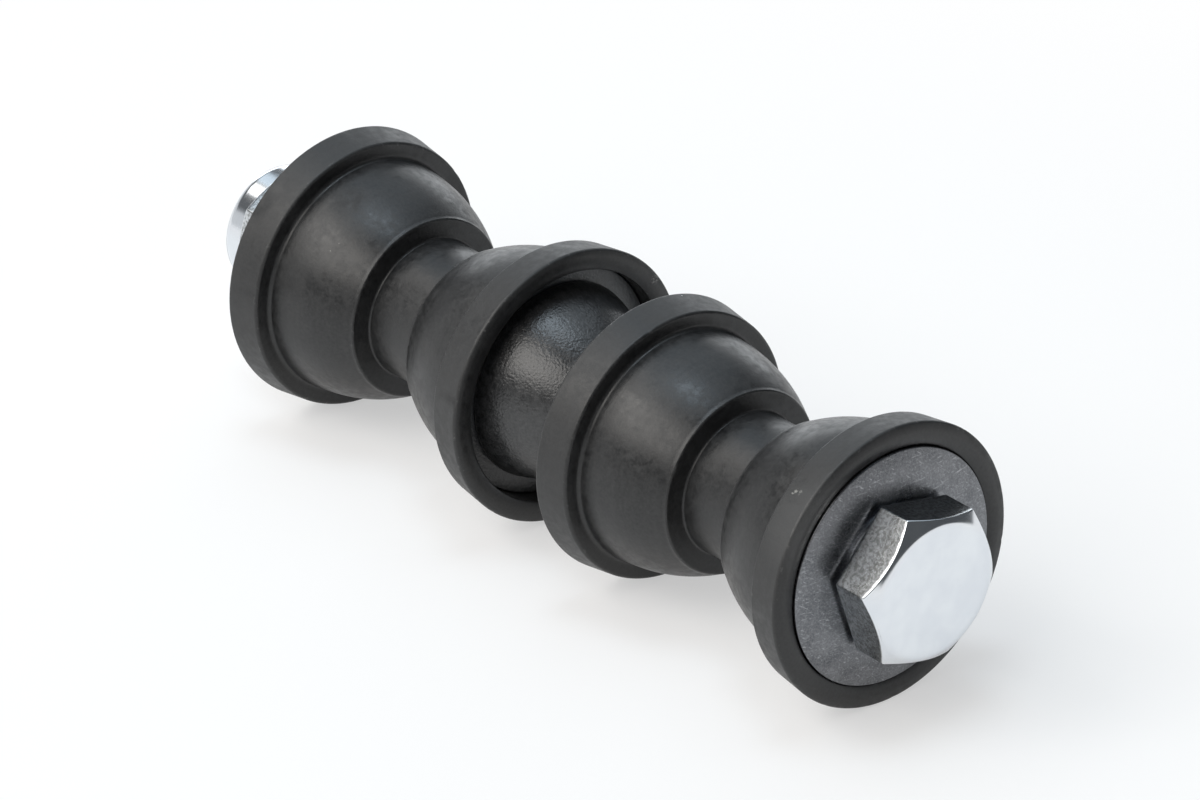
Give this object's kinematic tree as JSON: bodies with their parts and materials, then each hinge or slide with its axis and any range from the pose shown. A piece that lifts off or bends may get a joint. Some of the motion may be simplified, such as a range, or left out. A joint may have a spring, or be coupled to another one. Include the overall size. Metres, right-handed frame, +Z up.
{
  "type": "stabilizer link",
  "caption": "Straight stabilizer link: a long hexagon bolt through pairs of flanged rubber bushings with necked eye seats, washers, a domed spacer and a self-locking nut.",
  "frame": {"origin": "on the bolt's axis, midway between the top of the head and the tip of the thread", "axes": "+X along the bolt towards its head, +Z up with the link lying on its flanges"},
  "size_m": [0.1184, 0.034, 0.034],
  "materials": {
    "rubber": "satin moulded black rubber",
    "washer_steel": "plain stamped steel, tumbled",
    "zinc": "bright zinc plate",
    "spacer_black": "black coat, semi-gloss with a fine grain",
    "locking_ring": "satin nylon"
  },
  "bodies": {
    "spacer": {"centre_spacer": "spacer_black"},
    "bolt": {"bolt": "zinc"},
    "nut": {"lock_nut": "zinc", "nut_insert": "locking_ring"},
    "head_end_outer_bushing": {"head_end_outer_bushing": "rubber"},
    "head_end_inner_bushing": {"head_end_inner_bushing": "rubber"},
    "nut_end_inner_bushing": {"nut_end_inner_bushing": "rubber"},
    "nut_end_outer_bushing": {"nut_end_outer_bushing": "rubber"},
    "head_end_washer": {"head_end_washer": "washer_steel"},
    "head_end_inner_washer": {"head_end_inner_washer": "spacer_black"},
    "nut_end_inner_washer": {"nut_end_inner_washer": "spacer_black"},
    "nut_end_washer": {"nut_end_washer": "washer_steel"}
  },
  "joints": [
    {"name": "bolt_turn", "type": "hinge", "parent": "spacer", "child": "bolt", "pos_m": [0, 0, 0], "axis": [1, 0, 0], "range_deg": [0, 2520]},
    {"name": "nut_travel", "type": "slide", "parent": "spacer", "child": "nut", "axis": [-1, 0, 0], "range_m": [0, 0.0106]},
    {"name": "head_end_outer_bushing_swivel", "type": "hinge", "parent": "spacer", "child": "head_end_outer_bushing", "pos_m": [0, 0, 0], "axis": [1, 0, 0], "continuous": true},
    {"name": "head_end_inner_bushing_swivel", "type": "hinge", "parent": "spacer", "child": "head_end_inner_bushing", "pos_m": [0, 0, 0], "axis": [1, 0, 0], "continuous": true},
    {"name": "nut_end_inner_bushing_swivel", "type": "hinge", "parent": "spacer", "child": "nut_end_inner_bushing", "pos_m": [0, 0, 0], "axis": [1, 0, 0], "continuous": true},
    {"name": "nut_end_outer_bushing_swivel", "type": "hinge", "parent": "spacer", "child": "nut_end_outer_bushing", "pos_m": [0, 0, 0], "axis": [1, 0, 0], "continuous": true},
    {"name": "head_end_washer_swivel", "type": "hinge", "parent": "spacer", "child": "head_end_washer", "pos_m": [0, 0, 0], "axis": [1, 0, 0], "continuous": true},
    {"name": "head_end_inner_washer_swivel", "type": "hinge", "parent": "spacer", "child": "head_end_inner_washer", "pos_m": [0, 0, 0], "axis": [1, 0, 0], "continuous": true},
    {"name": "nut_end_inner_washer_swivel", "type": "hinge", "parent": "spacer", "child": "nut_end_inner_washer", "pos_m": [0, 0, 0], "axis": [1, 0, 0], "continuous": true},
    {"name": "nut_end_washer_swivel", "type": "hinge", "parent": "spacer", "child": "nut_end_washer", "pos_m": [0, 0, 0], "axis": [1, 0, 0], "continuous": true}
  ],
  "couplings": [
    {"joint": "nut_travel", "follows": "bolt_turn", "m_per_rad": 0.00023873}
  ]
}
